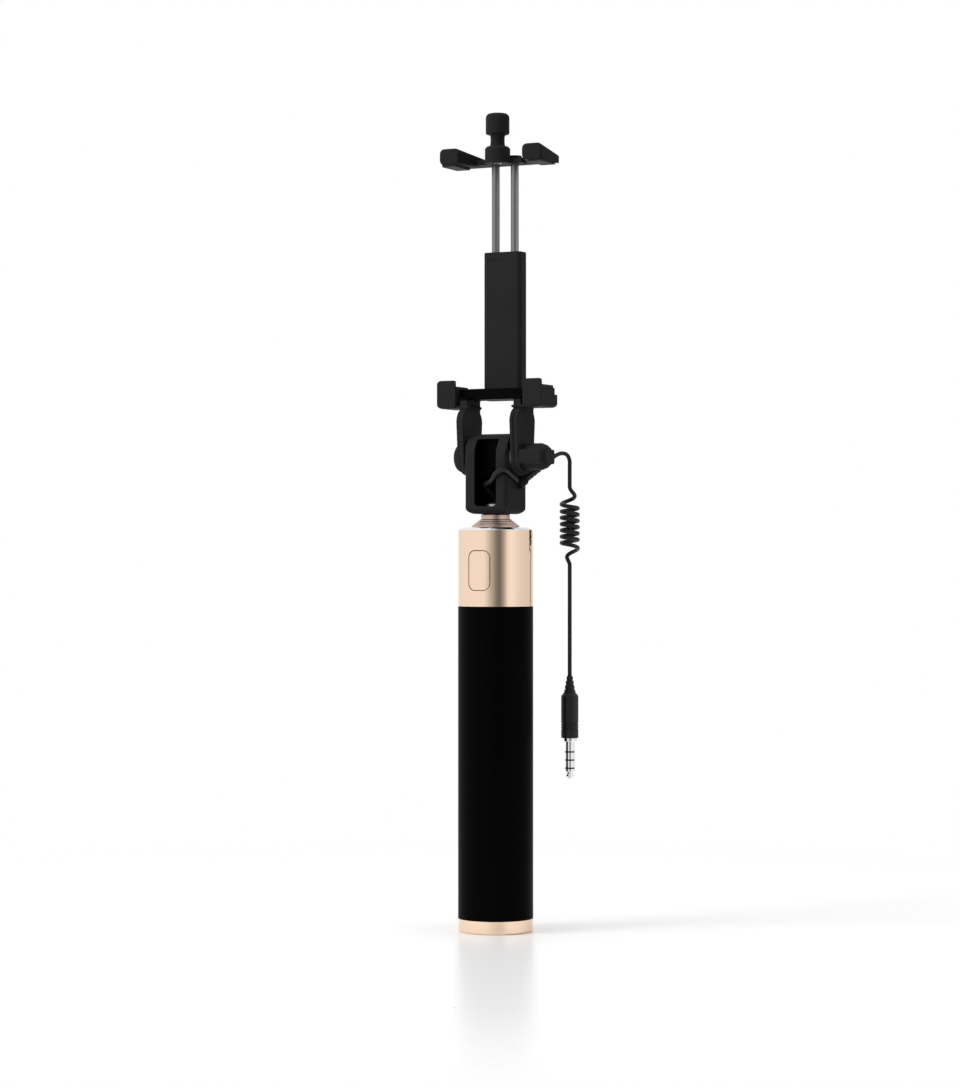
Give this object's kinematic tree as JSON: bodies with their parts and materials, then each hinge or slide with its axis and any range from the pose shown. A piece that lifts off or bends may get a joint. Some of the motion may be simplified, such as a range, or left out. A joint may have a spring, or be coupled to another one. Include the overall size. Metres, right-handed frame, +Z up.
{
  "type": "selfie stick",
  "caption": "Telescopic hand stick with a wired shutter button, a tilting phone clamp with a thumb nut, and a short curly lead with a jack plug.",
  "frame": {"origin": "centre of the base cap's flat underside, on the surface the stick stands on", "axes": "+Z up the stick, +X along the clamped phone's long side towards the thumb nut, -Y towards the shutter button"},
  "size_m": [0.0451, 0.0382, 0.2984],
  "materials": {
    "gold_metal": "satin anodised, brushed round",
    "rose_tube": "polished, rose gold plated",
    "bright_chrome": "polished",
    "steel": "satin",
    "brass": "machined",
    "grip_rubber": "soft touch, near black",
    "head_plastic": "fine moulded texture",
    "pad_rubber": "matte",
    "cord_plastic": "satin flexible plastic",
    "board_green": "solder mask",
    "nylon": "natural nylon"
  },
  "bodies": {
    "handle": {"base_cap": "gold_metal", "bottom_plug": "head_plastic", "cap_screw": "steel", "handle_tube": "steel", "grip_sleeve": "grip_rubber", "collar": "gold_metal", "trim_ring": "bright_chrome", "guide_bush": "head_plastic", "switch_carrier": "head_plastic", "switch_board": "board_green", "tact_switch": "steel", "handle_lead": "cord_plastic"},
    "button": {"shutter_button": "gold_metal", "switch_stem": "nylon"},
    "stage_1": {"tube_1": "rose_tube", "tube_bush_1": "nylon"},
    "stage_2": {"tube_2": "rose_tube", "tube_bush_2": "nylon"},
    "stage_3": {"tube_3": "rose_tube", "tube_bush_3": "nylon"},
    "stage_4": {"tube_4": "rose_tube", "tube_bush_4": "nylon"},
    "stage_5": {"tube_5": "rose_tube", "tube_bush_5": "nylon", "neck_plug": "head_plastic", "swivel_clip": "steel", "coiled_inner_lead": "cord_plastic"},
    "head": {"hinge_block": "head_plastic", "friction_washers": "steel", "lead_wire": "cord_plastic", "lead_socket": "head_plastic", "strain_relief": "cord_plastic", "cord_lead": "cord_plastic", "cord_curl": "cord_plastic", "cord_tail": "cord_plastic", "plug_relief": "cord_plastic", "plug_body": "cord_plastic", "plug_ring": "bright_chrome", "plug_pin": "bright_chrome"},
    "clamp": {"pivot_bolt": "steel", "pivot_cap": "head_plastic", "lower_jaw": "head_plastic", "lower_pads": "pad_rubber", "guide_column": "head_plastic", "column_cap": "head_plastic", "column_screws": "steel", "jaw_springs": "steel"},
    "thumb_screw": {"thumb_nut": "head_plastic", "nut_insert": "brass"},
    "sliding_jaw": {"upper_jaw": "head_plastic", "upper_pads": "pad_rubber", "guide_rods": "bright_chrome", "pull_knob": "head_plastic", "knob_screw": "steel"}
  },
  "joints": [
    {"name": "shutter_press", "type": "slide", "parent": "handle", "child": "button", "axis": [0, 1, 0], "range_m": [0, 0.0004], "stiffness_N_per_m": 600, "springref_m": -0.0005},
    {"name": "stage_1_slide", "type": "slide", "parent": "handle", "child": "stage_1", "axis": [0, 0, 1], "range_m": [0, 0.095], "deforming": ["coiled_inner_lead"]},
    {"name": "stage_2_slide", "type": "slide", "parent": "stage_1", "child": "stage_2", "axis": [0, 0, 1], "range_m": [0, 0.095]},
    {"name": "stage_3_slide", "type": "slide", "parent": "stage_2", "child": "stage_3", "axis": [0, 0, 1], "range_m": [0, 0.095]},
    {"name": "stage_4_slide", "type": "slide", "parent": "stage_3", "child": "stage_4", "axis": [0, 0, 1], "range_m": [0, 0.095]},
    {"name": "stage_5_slide", "type": "slide", "parent": "stage_4", "child": "stage_5", "axis": [0, 0, 1], "range_m": [0, 0.095]},
    {"name": "head_turn", "type": "hinge", "parent": "stage_5", "child": "head", "pos_m": [0, 0, 0.1518], "axis": [0, 0, 1], "range_deg": [-170, 170]},
    {"name": "clamp_tilt", "type": "hinge", "parent": "head", "child": "clamp", "pos_m": [0, 0, 0.1726], "axis": [1, 0, 0], "range_deg": [-30, 95]},
    {"name": "thumb_screw_turn", "type": "hinge", "parent": "clamp", "child": "thumb_screw", "pos_m": [0, 0, 0.1726], "axis": [1, 0, 0], "range_deg": [-180, 180]},
    {"name": "jaw_slide", "type": "slide", "parent": "clamp", "child": "sliding_jaw", "axis": [0, 0, 1], "range_m": [-0.022, 0.0044], "deforming": ["jaw_springs"]}
  ]
}
